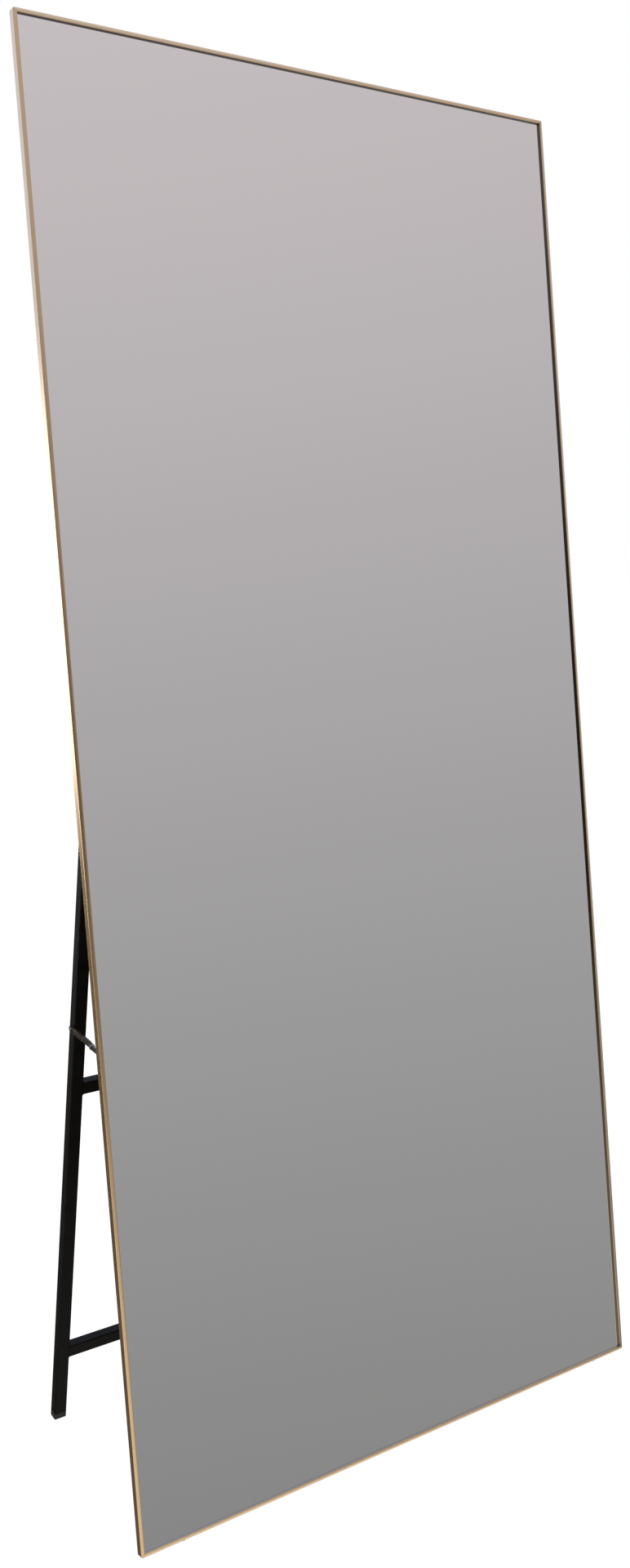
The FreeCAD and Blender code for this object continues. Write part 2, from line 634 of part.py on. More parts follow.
def slotted(body, kind, layer, start, end, high):
    """Pads or pockets a straight slot along Y, with round ends about two middles on the Y axis."""
    feature = extrude(body, kind, "X", *layer)
    sketch = feature.Profile[0]
    at = FreeCAD.Vector
    up, quarter, rough = at(0, 0, 1), math.pi / 2, 50
    sketch.addGeometry([Part.LineSegment(at(0, 3, 0), at(rough, 3, 0)),
                        Part.LineSegment(at(rough, -3, 0), at(0, -3, 0)),
                        Part.ArcOfCircle(Part.Circle(at(0, 0, 0), up, 3), quarter, 3 * quarter),
                        Part.ArcOfCircle(Part.Circle(at(rough, 0, 0), up, 3), -quarter, quarter)])
    sketch.addConstraint([Sketcher.Constraint("Tangent", *ends)
                          for ends in ((0, 1, 2, 1), (0, 2, 3, 2), (1, 1, 3, 1), (1, 2, 2, 2))])
    sketch.addConstraint([Sketcher.Constraint("Equal", 2, 3), Sketcher.Constraint("PointOnObject", 2, 3, -1),
                          Sketcher.Constraint("PointOnObject", 3, 3, -1)])
    fix(sketch, "DistanceX", 2, 3, start, 0)
    fix(sketch, "DistanceX", 3, 3, end, rough)
    index = sketch.addConstraint(Sketcher.Constraint("Radius", 2, 3.0))
    sketch.setExpression(f"Constraints[{index}]", f"({onSheet(high)}) / 2")
    return feature


bore = "rivetDia + rivetSlack"
for side, sign in sides:
    # channel link, on the leg: a web with two edges turned outwards
    channel = newBody(f"stay_channel_link_{side}", onChannel)
    web = outwards(sign, "linkGap", "webOut")
    rim = outwards(sign, "linkGap", "channelOut")
    half = "channelHigh / 2"
    stop = "channelLink - channelShort"
    slotted(channel, "PartDesign::Pad", rim, 0, f"{stop} + {half}", "channelHigh")
    slotted(channel, "PartDesign::Pocket", outwards(sign, "webOut", "channelOut + 1"),
            0, f"{stop} + 2 * {half}", "channelHigh - 2 * channelLip")
    pocket(channel, "X", f"{rim[0]} - 1", f"{rim[1]} + 1",
           [box(stop, f"{stop} + 2 * {half} + 1", f"-{half} - 1", f"{half} + 1")])
    slotted(channel, "PartDesign::Pad", web, f"{stop} - flatHigh", "channelLink", "flatHigh")
    pocket(channel, "X", f"{web[0]} - 1", f"{web[1]} + 1",
           circles=[(0, 0, bore), ("channelLink", 0, "rivetDia")])
    # flat link, on the mirror: it lies outside the channel when the stand is folded
    flat = newBody(f"stay_flat_link_{side}", onFlat)
    layer = outwards(sign, "flatIn", "flatOut")
    slotted(flat, "PartDesign::Pad", layer, 0, "flatLink", "flatHigh")
    pocket(flat, "X", f"{layer[0]} - 1", f"{layer[1]} + 1",
           circles=[(0, 0, bore), ("flatLink", 0, "rivetDia")])
    # the knuckle's two halves meet between the links
    middle = "linkRunGap / 3"
    rivet(f"stay_knuckle_boss_{side}", onChannel + " * " + shift(0, "channelLink", 0), sign,
          [("linkGap", "webOut", "rivetDia"), ("webOut", f"flatIn - {middle}", "flatHigh")])
    rivet(f"stay_knuckle_rivet_{side}", onFlat + " * " + shift(0, "flatLink", 0), sign,
          [("flatIn", "flatOut", "rivetDia"), ("flatOut", "flatOut + rivetHeadHigh", "rivetHeadDia")])
    # leg rivet: tail in the tube, washer under the link, low head in the channel
    rivet(f"stay_leg_rivet_{side}", onStand + " * " + shift(0, "stayAcross", "-stayArm"), sign,
          [("-tubeWall - 1", "-tubeWall", "rivetHeadDia"),
           ("-tubeWall", "webOut + linkRunGap / 3", "rivetDia"),
           (0, f"linkGap - {middle}", "rivetHeadDia"),
           ("webOut + linkRunGap / 3", "channelOut", "rivetHeadDia - 0.6")])
    # bracket: a foot on the lower rail and an ear outside the flat link
    bracket = newBody(f"stay_bracket_{side}", onPanel + " * " + shift(0, 0, "bracketPivotUp"))
    ear = outwards(sign, "bracketIn", "bracketOut")
    foot = outwards(sign, "bracketIn", "bracketIn + bracketFoot")
    rise = "bracketHigh / 2"
    pad(bracket, "Y", "railFace", "railFace + bracketThick", [box(*foot, f"-{rise}", rise)])
    pad(bracket, "X", *ear, [[("railFace", f"-{rise}"), ("bracketPivotY", "-bracketEye"),
                              ("bracketPivotY", "bracketEye"), ("railFace", rise)]])
    pad(bracket, "X", *ear, circles=[("bracketPivotY", 0, "2 * bracketEye")])
    pocket(bracket, "X", f"{ear[0]} - 1", f"{ear[1]} + 1", circles=[("bracketPivotY", 0, "rivetDia")])
    own = [x for x in bracketSpots if x.startswith(f"{sign} ")]
    pocket(bracket, "Y", "railFace - 1", "railFace + bracketThick + 1",
           circles=[(x, 0, "leafScrewDia + screwSlack") for x in own])
    rivet(f"stay_bracket_rivet_{side}", onPanel + " * " + shift(0, "bracketPivotY", "bracketPivotUp"), sign,
          [("flatIn - linkRunGap / 3 - rivetHeadHigh", "flatIn - linkRunGap / 3", "rivetHeadDia"),
           ("flatIn - linkRunGap / 3", "bracketOut", "rivetDia"),
           (f"flatOut + {middle}", "bracketIn", "rivetHeadDia"),
           ("bracketOut", "bracketOut + rivetHeadHigh", "rivetHeadDia")])

screws("stay_bracket_screws", onPanel, "Y", [(x, "bracketPivotUp") for x in bracketSpots],
       "railFace + bracketThick", "railFace + bracketThick - leafScrewLong",
       "leafScrewDia", "leafScrewHeadDia", "leafScrewHeadHigh + 0.8")


# ---------------------------------------------------------------- wall hangers
def ringPath(body):
    """The centre line of a D ring, square to Y: a straight top, two corners and a round bow."""
    sketch = body.newObject("Sketcher::SketchObject", "path")
    sketch.AttachmentSupport = [(originPlane(body, "Y"), "")]
    sketch.MapMode = "FlatFace"
    now = dict(sizes)
    half, corner = now["ringWide"] / 2, now["ringCorner"]
    bow = half - now["ringDrop"]
    at = FreeCAD.Vector
    up, quarter = at(0, 0, 1), math.pi / 2
    sketch.addGeometry([
        Part.LineSegment(at(corner - half, 0, 0), at(half - corner, 0, 0)),
        Part.ArcOfCircle(Part.Circle(at(half - corner, -corner, 0), up, corner), 0, quarter),
        Part.LineSegment(at(half, -corner, 0), at(half, bow, 0)),
        Part.ArcOfCircle(Part.Circle(at(0, bow, 0), up, half), 2 * quarter, 4 * quarter),
        Part.LineSegment(at(-half, bow, 0), at(-half, -corner, 0)),
        Part.ArcOfCircle(Part.Circle(at(corner - half, -corner, 0), up, corner), quarter, 2 * quarter)])
    tangents = [(0, 2, 1, 2), (1, 1, 2, 1), (2, 2, 3, 2), (3, 1, 4, 1), (4, 2, 5, 2), (5, 1, 0, 1)]
    sketch.addConstraint([Sketcher.Constraint("Tangent", *ends) for ends in tangents])
    sketch.addConstraint([Sketcher.Constraint("Vertical", 2), Sketcher.Constraint("Vertical", 4),
                          Sketcher.Constraint("Equal", 1, 5),
                          Sketcher.Constraint("Symmetric", 0, 1, 0, 2, -2),
                          Sketcher.Constraint("PointOnObject", 0, 1, -1)])
    for item, size, value in ((1, "ringCorner", corner), (3, "ringWide / 2", half)):
        index = sketch.addConstraint(Sketcher.Constraint("Radius", item, value))
        sketch.setExpression(f"Constraints[{index}]", onSheet(size))
    index = sketch.addConstraint(Sketcher.Constraint("DistanceY", 3, 3, -1, 1, -bow))
    sketch.setExpression(f"Constraints[{index}]", onSheet("ringDrop - ringWide / 2"))
    return sketch


onEye = onPanel + " * " + shift(0, "ringAxisY", "hangerUp")
for side, sign in sides:
    x = f"{sign} * hangerX"
    strap = newBody(f"hanger_strap_{side}", onEye)
    wide = (f"{x} - strapWide / 2", f"{x} + strapWide / 2")
    pad(strap, "Y", "-eyeRadius", "strapThick - eyeRadius", [box(*wide, "-strapLong", 0)])
    pad(strap, "X", f"{x} - strapEyeWide / 2", f"{x} + strapEyeWide / 2", circles=[(0, 0, "2 * eyeRadius")])
    pocket(strap, "X", f"{wide[0]} - 1", f"{wide[1]} + 1", circles=[(0, 0, "ringWire + ringSlack")])
    pocket(strap, "Y", "-eyeRadius - 1", "strapThick - eyeRadius + 1",
           circles=[(x, f"-{up}", "screwDia + screwSlack") for up in ("strapScrewNear", "strapScrewFar")])
    # the ring hangs plumb from its eye, so it stands off the leaning panel
    ring = newBody(f"hanger_ring_{side}", onEye + " * " + shift(x, 0, 0, "1; 0; 0", "leanAngle"))
    path = ringPath(ring)
    wire = outline(ring, "X", 0, circles=[(0, 0, "ringWire")])
    sweep = ring.newObject("PartDesign::AdditivePipe", "sweep")
    sweep.Profile = wire
    sweep.Spine = path

screws("hanger_screws", onPanel, "Y",
       [(f"{sign} * hangerX", up) for side, sign in sides for up in hangerScrewUps],
       "frameDeep + strapThick", "flangeFace + screwShort", "screwDia", "screwHeadDia", "screwHeadHigh")

# ---------------------------------------------------------------- build, check and write
doc.recompute()
for item in doc.Objects:
    if "Invalid" in item.State or "Error" in item.State:
        raise RuntimeError(f"{item.Label} did not build: {item.State}")
os.makedirs("parts", exist_ok=True)
for item in parts:
    shape = item.Shape
    if shape.isNull() or not shape.isValid() or not shape.Solids:
        raise RuntimeError(f"{item.Label} has no valid solid")
    shape.exportStep(f"parts/{item.Label}.step")

whole = FreeCAD.BoundBox()
for item in parts:
    whole.add(item.Shape.BoundBox)
print(len(parts), "nodes, box", whole)
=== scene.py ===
import json
import math

import bpy
import numpy as np
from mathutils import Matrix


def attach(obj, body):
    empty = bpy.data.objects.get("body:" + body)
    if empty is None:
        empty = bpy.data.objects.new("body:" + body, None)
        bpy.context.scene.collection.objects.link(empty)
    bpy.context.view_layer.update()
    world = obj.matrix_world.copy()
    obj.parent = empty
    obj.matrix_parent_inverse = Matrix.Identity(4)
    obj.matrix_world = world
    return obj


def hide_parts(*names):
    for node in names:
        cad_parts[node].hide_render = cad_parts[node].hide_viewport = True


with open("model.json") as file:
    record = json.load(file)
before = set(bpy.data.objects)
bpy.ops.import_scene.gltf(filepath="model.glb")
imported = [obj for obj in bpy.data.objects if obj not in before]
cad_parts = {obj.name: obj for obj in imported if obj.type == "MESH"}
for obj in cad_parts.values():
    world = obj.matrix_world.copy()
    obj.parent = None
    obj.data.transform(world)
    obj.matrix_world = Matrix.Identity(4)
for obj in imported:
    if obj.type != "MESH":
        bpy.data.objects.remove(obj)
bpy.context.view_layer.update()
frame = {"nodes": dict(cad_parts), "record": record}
nodes = frame["nodes"]
mm = 0.001
print("frame loaded:", len(nodes), "nodes")


# ---- colour and shader helpers
def toLinear(hexText):
    # "RRGGBB" in sRGB to linear with alpha 1: c / 12.92 for dark values, ((c + 0.055) / 1.055) to the 2.4 above
    parts = [int(hexText[i:i + 2], 16) / 255 for i in (0, 2, 4)]
    return [p / 12.92 if p <= 0.04045 else ((p + 0.055) / 1.055) ** 2.4 for p in parts] + [1.0]


def addNode(tree, kind, settings=None, links=None):
    # makes a node; settings are attributes or input values by name or number, links are sockets by input
    node = tree.nodes.new(kind)
    for key, value in (settings or {}).items():
        if isinstance(key, str) and hasattr(node, key):
            setattr(node, key, value)
        else:
            node.inputs[key].default_value = value
    for key, socket in (links or {}).items():
        tree.links.new(socket, node.inputs[key])
    return node


def startMaterial(name):
    # an empty material with its shader and output, and coordinates in metres on the piece
    material = bpy.data.materials.new(name)
    material.use_nodes = True
    tree = material.node_tree
    tree.nodes.clear()
    shader = addNode(tree, "ShaderNodeBsdfPrincipled")
    addNode(tree, "ShaderNodeOutputMaterial", links={"Surface": shader.outputs["BSDF"]})
    place = addNode(tree, "ShaderNodeTexCoord").outputs["Object"]
    return material, tree, shader, place


def rampOf(tree, factor, stops):
    # a colour ramp through (position, sRGB hex) stops
    ramp = addNode(tree, "ShaderNodeValToRGB", links={"Fac": factor})
    band = ramp.color_ramp
    while len(band.elements) < len(stops):
        band.elements.new(0.5)
    for element, (position, colour) in zip(band.elements, stops):
        element.position = position
        element.color = toLinear(colour)
    return ramp.outputs["Color"]


def noiseOf(tree, place, sizeMm, stretch=(1, 1, 1), detail=2.0, rough=0.5):
    # noise whose features are sizeMm apart, drawn out along the axes where stretch is under 1
    scaled = addNode(tree, "ShaderNodeMapping", {"Scale": [s / (sizeMm * mm) for s in stretch]}, {"Vector": place})
    noise = addNode(tree, "ShaderNodeTexNoise", {"Scale": 1.0, "Detail": detail, "Roughness": rough},
                    {"Vector": scaled.outputs["Vector"]})
    return noise.outputs["Fac"]


usualNoise = (0.3, 0.7)  # where nearly all of a noise's values lie


def rangeOf(tree, value, low, high):
    # noise spread to low..high, in a straight line over its usual values
    start, end = usualNoise
    spread = addNode(tree, "ShaderNodeMapRange", {"From Min": start, "From Max": end, "To Min": low, "To Max": high},
                     {"Value": value})
    return spread.outputs["Result"]


def addBump(tree, shader, height, depthMm):
    # shading as if the surface rose by height times depthMm
    bump = addNode(tree, "ShaderNodeBump", {"Distance": depthMm * mm, "Strength": 1.0}, {"Height": height})
    tree.links.new(bump.outputs["Normal"], shader.inputs["Normal"])


def mathOf(tree, operation, first, second=None, third=None):
    # one sum on sockets or plain numbers
    node = addNode(tree, "ShaderNodeMath", {"operation": operation})
    for socket, value in zip(node.inputs, (first, second, third)):
        if isinstance(value, (int, float)):
            socket.default_value = value
        elif value is not None:
            tree.links.new(value, socket)
    return node.outputs[0]


def stepOf(tree, value, low, high):
    # 0 below low and 1 above high, smooth between; with low over high it is 1 below and 0 above
    turned = low > high
    share = addNode(tree, "ShaderNodeMapRange",
                    {"interpolation_type": "SMOOTHSTEP", "From Min": min(low, high), "From Max": max(low, high),
                     "To Min": 1.0 if turned else 0.0, "To Max": 0.0 if turned else 1.0}, {"Value": value})
    return share.outputs["Result"]


def mixOf(tree, share, first, second):
    # first where share is 0, second where it is 1; either is a socket or an sRGB hex
    node = addNode(tree, "ShaderNodeMix", {"data_type": "RGBA"}, {0: share})
    for index, colour in ((6, first), (7, second)):
        if isinstance(colour, str):
            node.inputs[index].default_value = toLinear(colour)
        else:
            tree.links.new(colour, node.inputs[index])
    return node.outputs[2]


# ---- materials
panel = {"leanDeg": 7.5, "wide": 0.813, "high": 1.803, "front": (0, -0.168312, 0.002505)}  # metres
gold = {
    "light": "D9BC94", "deep": "CDAF87", "roughLow": 0.2, "roughHigh": 0.28, "coat": 0.8, "coatRough": 0.15,
    "lineMm": 0.3, "lineLongMm": 140, "lineDeepMm": 0.003, "lineDetail": 2.0, "lineRough": 0.55,
    "rebateShade": "4E453D", "rebateShadeBelow": "8F8F8E",  # painted shade on the lip's wall down to the glass: dark brown at the top and sides, a paler dull grey along the bottom
    "rebateMm": (0.3, 0.6, 3.3), "rebateFadeMm": 0.3,  # its start, where it is full, its end and how it fades
    "rebateInMm": (3, 4), "belowMm": (6.5, 5.5),  # in from the outline, and the height under which it is below
    # the mitre joints, real seams, drawn as a thin dark line of painted shade from the groove where the rails meet
    "seamShade": "3A2F26", "seamMm": 0.22,
}


def brushedGold(name, along):
    # anodised aluminium, brushed along the extrusion and dyed champagne: long fine lines and a silky sheen, with
    # painted shade on the lip's inner wall and along the mitre joints
    material, tree, shader, place = startMaterial(name)
    # coordinates on the leaning panel: across, depth behind its front and height up its face
    onPanel = addNode(tree, "ShaderNodeMapping", {"vector_type": "TEXTURE", "Location": panel["front"],
                                                  "Rotation": (-math.radians(panel["leanDeg"]), 0, 0)},
                      {"Vector": place}).outputs["Vector"]
    across, depth, up = addNode(tree, "ShaderNodeSeparateXYZ", links={"Vector": onPanel}).outputs
    stretch = [gold["lineMm"] / gold["lineLongMm"] if axis == along else 1 for axis in "xyz"]
    lines = noiseOf(tree, onPanel, gold["lineMm"], stretch, gold["lineDetail"], gold["lineRough"])
    colour = rampOf(tree, lines, list(zip(usualNoise, (gold["deep"], gold["light"]))))
    # how far in from the outline, sideways and up or down
    inX = mathOf(tree, "SUBTRACT", panel["wide"] / 2, mathOf(tree, "ABSOLUTE", across))
    inZ = mathOf(tree, "MINIMUM", up, mathOf(tree, "SUBTRACT", panel["high"], up))
    # painted shade along each mitre joint: a thin dark line where the rails meet
    seamShade = stepOf(tree, mathOf(tree, "ABSOLUTE", mathOf(tree, "SUBTRACT", inX, inZ)), gold["seamMm"] * mm, 0.0)
    start, full, end = (d * mm for d in gold["rebateMm"])
    fade, inside, bottom = gold["rebateFadeMm"] * mm, [d * mm for d in gold["rebateInMm"]], gold["belowMm"]
    # painted shade: the lip's inner wall down to the glass is darkened, dark brown at the top and sides and a paler
    # dull grey along the bottom, where it faces up
    shadedWall = mathOf(tree, "MULTIPLY", stepOf(tree, depth, start, full), stepOf(tree, depth, end + fade, end))
    shadedWall = mathOf(tree, "MULTIPLY", shadedWall, stepOf(tree, mathOf(tree, "MINIMUM", inX, inZ), *inside))
    below = stepOf(tree, up, *[d * mm for d in bottom])
    colour = mixOf(tree, shadedWall, colour, mixOf(tree, below, gold["rebateShade"], gold["rebateShadeBelow"]))
    tree.links.new(mixOf(tree, seamShade, colour, gold["seamShade"]), shader.inputs["Base Color"])
    tree.links.new(rangeOf(tree, lines, gold["roughLow"], gold["roughHigh"]), shader.inputs["Roughness"])
    shader.inputs["Metallic"].default_value = 1.0
    shader.inputs["Coat Weight"].default_value = gold["coat"]
    shader.inputs["Coat Roughness"].default_value = gold["coatRough"]
    addBump(tree, shader, lines, gold["lineDeepMm"])
    return material


mirrorValues = {"tint": "EEF1F0", "roughLow": 0.004, "roughHigh": 0.012, "hazeMm": 120}


def silveredGlass():
    # float glass silvered on the back: a clean image with the faintest uneven wipe marks
    material, tree, shader, place = startMaterial("silveredFloatGlass")
    shader.inputs["Base Color"].default_value = toLinear(mirrorValues["tint"])
    shader.inputs["Metallic"].default_value = 1.0
    haze = noiseOf(tree, place, mirrorValues["hazeMm"], detail=3.0)
    rough = rangeOf(tree, haze, mirrorValues["roughLow"], mirrorValues["roughHigh"])
    tree.links.new(rough, shader.inputs["Roughness"])
    return material


powder = {"dark": "090908", "light": "0F0F0D", "rough": 0.5, "shine": 0.07, "peelMm": 0.9, "peelDeepMm": 0.03}


def powderCoat():
    # polyester powder coat baked on steel: near black, with an orange-peel skin
    material, tree, shader, place = startMaterial("blackPowderCoatedSteel")
    tone = noiseOf(tree, place, 25)
    tree.links.new(rampOf(tree, tone, [(0.35, powder["dark"]), (0.65, powder["light"])]), shader.inputs["Base Color"])
    shader.inputs["Roughness"].default_value = powder["rough"]
    shader.inputs["Specular IOR Level"].default_value = powder["shine"]
    addBump(tree, shader, noiseOf(tree, place, powder["peelMm"], detail=1.0), powder["peelDeepMm"])
    return material


def satinBlack():
    # electrophoretic coat on pressed steel: thin, even and satin
    material, tree, shader, place = startMaterial("blackDippedSteel")
    tone = noiseOf(tree, place, 8)
    tree.links.new(rampOf(tree, tone, [(0.3, "121211"), (0.7, "1C1B1A")]), shader.inputs["Base Color"])
    tree.links.new(rangeOf(tree, tone, 0.3, 0.42), shader.inputs["Roughness"])
    shader.inputs["Metallic"].default_value = 0.3
    addBump(tree, shader, noiseOf(tree, place, 0.5), 0.008)
    return material


zinc = {"dark": "8C8F90", "light": "BDBFBB", "cloudMm": 5}


def zincPlate():
    # zinc plated steel: pale metal in soft clouds of grey, with a fine grain
    material, tree, shader, place = startMaterial("zincPlatedSteel")
    cloud = noiseOf(tree, place, zinc["cloudMm"], detail=4.0)
    tree.links.new(rampOf(tree, cloud, [(0.35, zinc["dark"]), (0.65, zinc["light"])]), shader.inputs["Base Color"])
    tree.links.new(rangeOf(tree, cloud, 0.25, 0.4), shader.inputs["Roughness"])
    shader.inputs["Metallic"].default_value = 1.0
    addBump(tree, shader, noiseOf(tree, place, 0.6), 0.006)
    return material


def bronzePlate():
    # steel with a dark bronze plating, rubbed a little brighter in patches
    material, tree, shader, place = startMaterial("bronzePlatedSteel")
    patch = noiseOf(tree, place, 4, detail=3.0)
    tree.links.new(rampOf(tree, patch, [(0.3, "3F382F"), (0.7, "61594D")]), shader.inputs["Base Color"])
    tree.links.new(rangeOf(tree, patch, 0.28, 0.45), shader.inputs["Roughness"])
    shader.inputs["Metallic"].default_value = 0.9
    addBump(tree, shader, noiseOf(tree, place, 0.5), 0.01)
    return material


def blackRubber():
    # moulded rubber: dull black with a faint grey bloom and a fine matt grain
    material, tree, shader, place = startMaterial("mouldedBlackRubber")
    bloom = noiseOf(tree, place, 6, detail=3.0)
    tree.links.new(rampOf(tree, bloom, [(0.4, "0E0E0E"), (0.75, "1B1B1A")]), shader.inputs["Base Color"])
    tree.links.new(rangeOf(tree, bloom, 0.62, 0.78), shader.inputs["Roughness"])
    addBump(tree, shader, noiseOf(tree, place, 0.7), 0.02)
    return material


def blackPlastic():
    # moulded polyethylene: waxy black with a fine spark texture
    material, tree, shader, place = startMaterial("mouldedBlackPolyethylene")
    shader.inputs["Base Color"].default_value = toLinear("131313")
    grain = noiseOf(tree, place, 0.6)
    tree.links.new(rangeOf(tree, grain, 0.4, 0.55), shader.inputs["Roughness"])
    addBump(tree, shader, grain, 0.02)
    return material


board = {"dark": "6B513A", "light": "83664A", "fleck": "99794F", "fibreMm": 1.1}


def hardboard():
    # hardboard pressed from wood fibre: warm brown, with short pale and dark fibres and a faint sheen
    material, tree, shader, place = startMaterial("pressedHardboard")
    cloud = noiseOf(tree, place, 60, detail=4.0)
    fibre = noiseOf(tree, place, board["fibreMm"], (1, 1, 0.35), 5.0, 0.7)
    mixed = addNode(tree, "ShaderNodeMath", {"operation": "MULTIPLY_ADD", 1: 0.15}, {0: cloud, 2: fibre})
    colour = rampOf(tree, mixed.outputs[0], [(0.4, board["dark"]), (0.58, board["light"]), (0.8, board["fleck"])])
    tree.links.new(colour, shader.inputs["Base Color"])
    tree.links.new(rangeOf(tree, fibre, 0.5, 0.68), shader.inputs["Roughness"])
    addBump(tree, shader, fibre, 0.05)
    return material


def foamTape():
    # closed-cell foam tape: off-white with fine pores
    material, tree, shader, place = startMaterial("whiteFoamTape")
    pores = noiseOf(tree, place, 0.8, detail=3.0)
    tree.links.new(rampOf(tree, pores, [(0.35, "CFCDC6"), (0.6, "E6E4DD")]), shader.inputs["Base Color"])
    shader.inputs["Roughness"].default_value = 0.8
    addBump(tree, shader, pores, 0.05)
    return material


goldLengthways = brushedGold("brushedGoldAluminiumAcross", "x")
goldUpright = brushedGold("brushedGoldAluminiumUp", "z")
finishes = {
    "mirror": silveredGlass(), "steel_black": powderCoat(), "hinge_black": satinBlack(),
    "screw_black": satinBlack(), "zinc": zincPlate(), "stay_bronze": bronzePlate(),
    "rubber_black": blackRubber(), "plug_black": blackPlastic(), "board_brown": hardboard(),
    "tape_white": foamTape(),
}
slots = {part["node"]: part["material_slot"] for part in frame["record"]["subparts"]}


def finishOf(node):
    # the material of a CAD node's slot; the gold's lines run along each rail
    if slots[node] == "frame_gold":
        return goldUpright if node.endswith(("left", "right")) else goldLengthways
    return finishes[slots[node]]


for node in slots:
    for holder in nodes[node].material_slots:
        holder.material = finishOf(node)
print("materials on")


# ---- small pieces on the panel and on the stand
def tiltedPoint(origin, degrees, x, deep, up):
    # millimetres across, behind and up a plane that leans back by degrees, to metres in the frame
    lean = math.radians(degrees)
    x, deep, up = np.broadcast_arrays(x, deep, up)
    y = origin[1] + (deep * math.cos(lean) + up * math.sin(lean)) * mm
    z = origin[2] + (up * math.cos(lean) - deep * math.sin(lean)) * mm
    return np.stack([origin[0] + x * mm, y, z], -1)


stand = {"turnDeg": 9.16, "hingeDeep": 21.0, "hingeUp": 1041.6}  # its lean forward, and its axis on the panel
hinge = tiltedPoint(panel["front"], panel["leanDeg"], 0.0, stand["hingeDeep"], stand["hingeUp"])
planes = {"mirror": (panel["front"], panel["leanDeg"]), "stand": (tuple(hinge), -stand["turnDeg"])}


sharpDeg = 38  # edges that turn more than this stay crisp


def addPiece(name, points, faces, like, body, replaced=None):
    # a finished mesh that rides on a body and takes the finish of a CAD node
    mesh = bpy.data.meshes.new(name)
    mesh.from_pydata(points.reshape(-1, 3).tolist(), [], faces)
    mesh.polygons.foreach_set("use_smooth", [True] * len(mesh.polygons))
    mesh.set_sharp_from_angle(angle=math.radians(sharpDeg))
    mesh.materials.append(finishOf(like))
    piece = bpy.data.objects.new(name, mesh)
    bpy.context.scene.collection.objects.link(piece)
    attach(piece, body)
    if replaced:
        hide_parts(replaced)


def closedFaces(copies, rings, around):
    # faces of tubes made of rings of points, closed by a pole at each end
    # a tube's points are pole, rings, pole, so ring r's point s is number 1 + r * around + s
    ring, step = np.meshgrid(np.arange(rings - 1), np.arange(around), indexing="ij")
    after = (step + 1) % around
    first, last = 1 + ring * around, 1 + (ring + 1) * around
    quads = np.stack([first + step, first + after, last + after, last + step], -1).reshape(-1, 4)
    turn = np.arange(around)
    ahead = (turn + 1) % around
    end = 1 + (rings - 1) * around
    low = np.stack([np.zeros_like(turn), 1 + ahead, 1 + turn], -1)
    high = np.stack([np.full_like(turn, end + around), end + turn, end + ahead], -1)
    size = rings * around + 2
    return [(face + copy * size).tolist()
            for copy in range(copies) for part in (quads, low, high) for face in part]


screwRows = {
    # piece: node, body, tip and seat (mm behind the front), shank and head across, head's height, dome, spots
    "crossHeadScrewsOfBraces": ("corner_brace_screws", "mirror", 8.9, 11.2, 2.9, 5.6, 1.6, 0.45,
                                [(399.5, 20.0), (399.5, 31.0), (399.5, 1772.0), (399.5, 1783.0), (386.5, 7.0),
                                 (386.5, 1796.0), (375.5, 7.0), (375.5, 1796.0)]),
    "crossHeadScrewsOfRails": ("back_rail_screws", "mirror", 8.9, 18.0, 2.9, 5.6, 1.6, 0.45,
                               [(397.0, 570.75), (397.0, 584.75), (397.0, 1046.6), (397.0, 1060.6)]),
    "crossHeadScrewsOfHangers": ("hanger_screws", "mirror", 8.9, 11.6, 2.9, 5.6, 1.6, 0.45,
                                 [(397.0, 1471.0), (397.0, 1481.5)]),
    "flatHeadScrewsOfHingesUp": ("hinge_screws_mirror", "mirror", 10.5, 18.5, 3.5, 6.4, 1.0, 0.08,
                                 [(245.5, 1054.1), (215.5, 1054.1)]),
    "flatHeadScrewsOfHingesDown": ("hinge_screws_stand", "stand", 6.5, -1.5, 3.5, 6.4, 1.0, 0.08,
                                   [(245.5, -12.5), (215.5, -12.5)]),
    "crossHeadScrewsOfStays": ("stay_bracket_screws", "mirror", 10.6, 19.6, 3.5, 6.4, 1.8, 0.4,
                               [(388.6, 577.75), (380.6, 577.75)]),
}
recess = {"arm": 0.42, "reach": 0.62, "deep": 0.62, "edge": 0.14}  # mm, and shares of the head's radius and height


